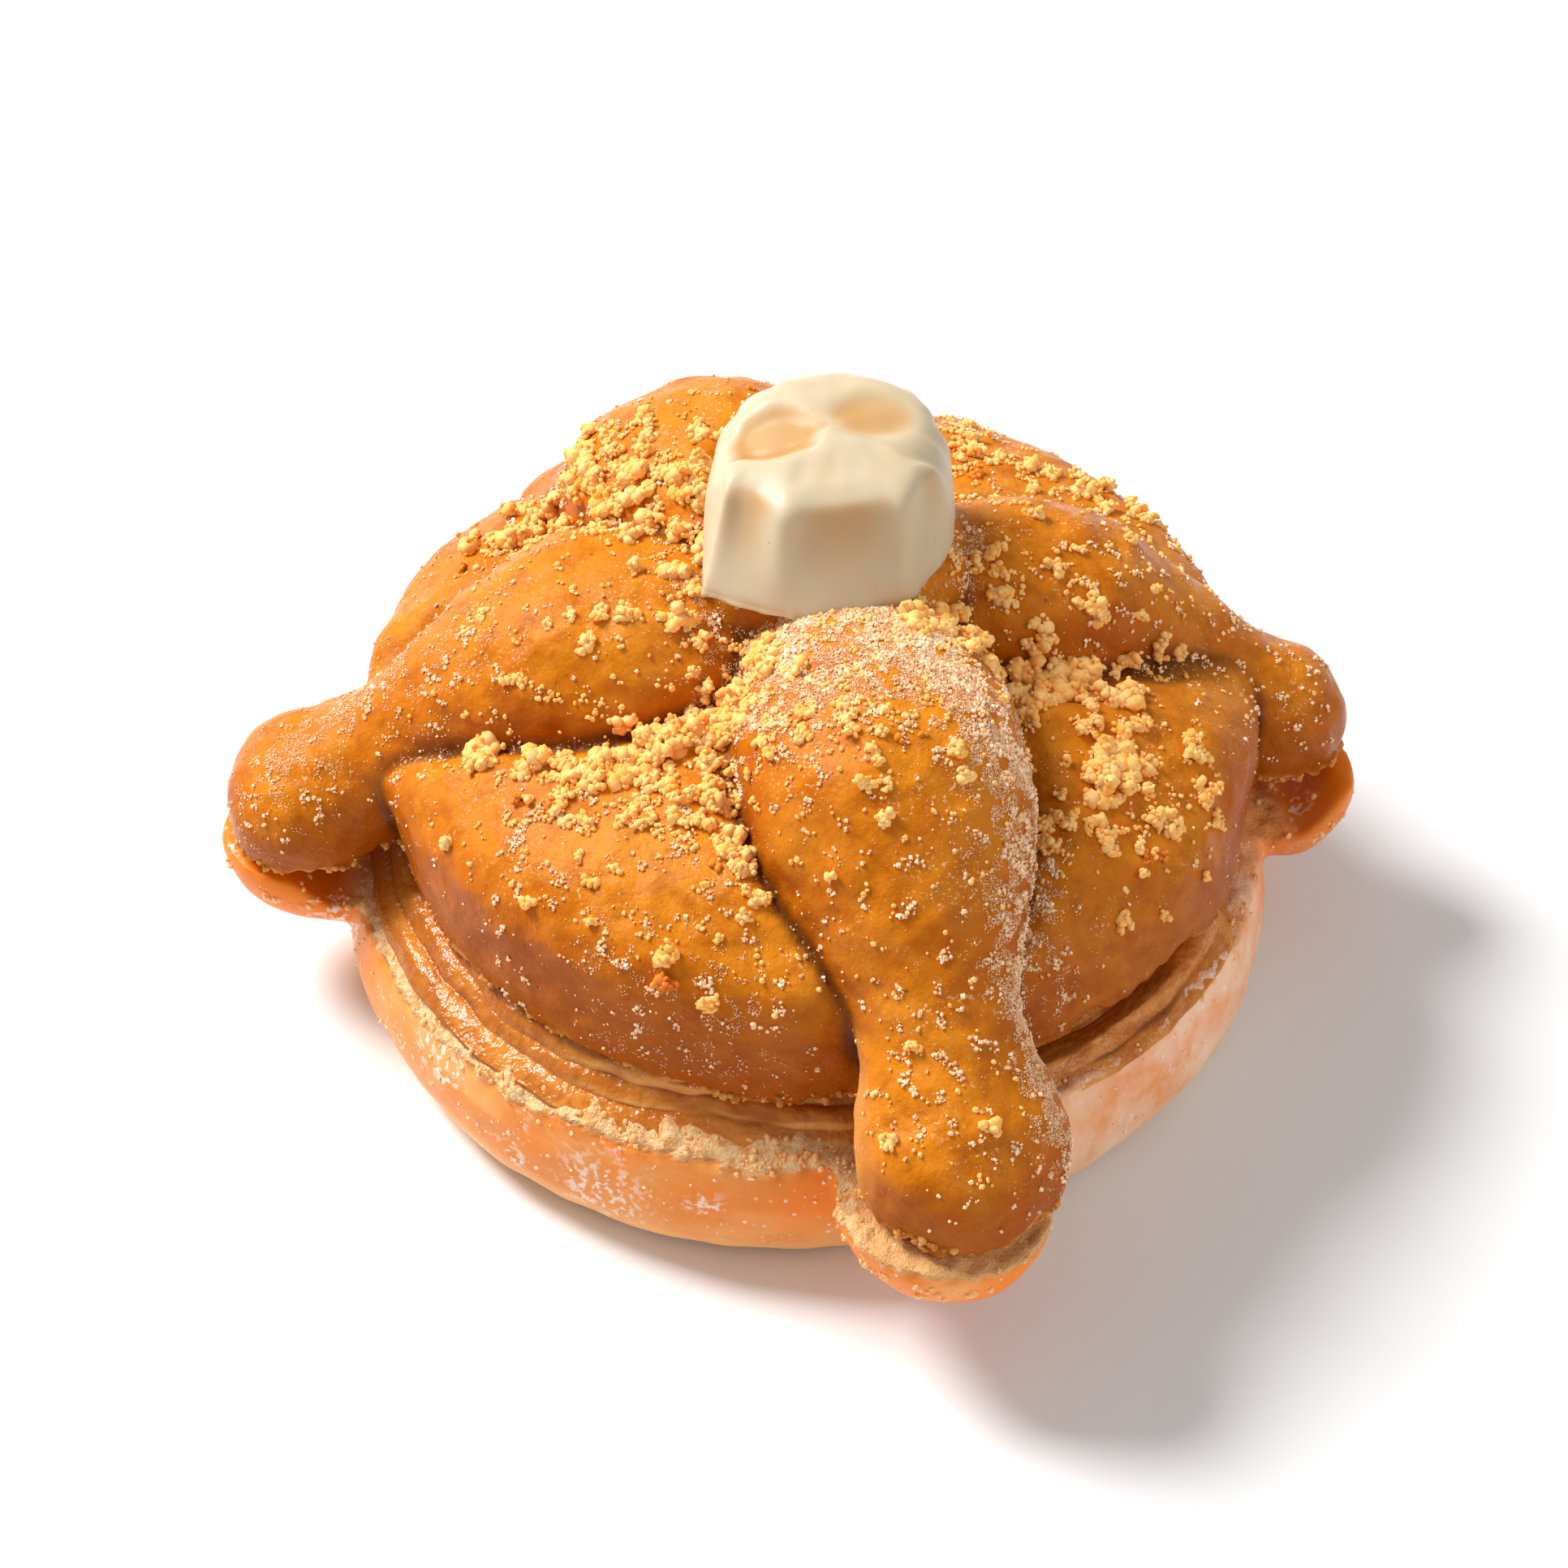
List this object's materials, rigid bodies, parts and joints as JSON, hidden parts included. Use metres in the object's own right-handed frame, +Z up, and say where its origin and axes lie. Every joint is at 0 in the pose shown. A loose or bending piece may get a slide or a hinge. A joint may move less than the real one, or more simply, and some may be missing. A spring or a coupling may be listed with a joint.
{
  "type": "filled pan de muerto",
  "caption": "Round sweet roll with crossed bone-shaped dough strands, split level and filled with cream, topped with cookie crumbs and a white chocolate skull.",
  "frame": {"origin": "middle of the outline, on the surface that the roll stands on", "axes": "+Z up through the skull; the longest bone hangs over the front, towards -Y; +X to the right as seen from the front"},
  "size_m": [0.134, 0.1264, 0.0745],
  "materials": {
    "lower_crust": "soft baked crust, matte, pink-orange with a paler foot and a pale torn rim",
    "cream": "thick tan cream, glossy",
    "glazed_crust": "caramel brown baked crust with a satin butter glaze, strewn with pale yellow crumbs and sugar",
    "white_chocolate": "ivory white chocolate, satin, slightly translucent"
  },
  "bodies": {
    "root": {"bottom_half": "lower_crust", "cream_filling": "cream", "top_half": "glazed_crust", "skull": "white_chocolate"}
  },
  "joints": []
}
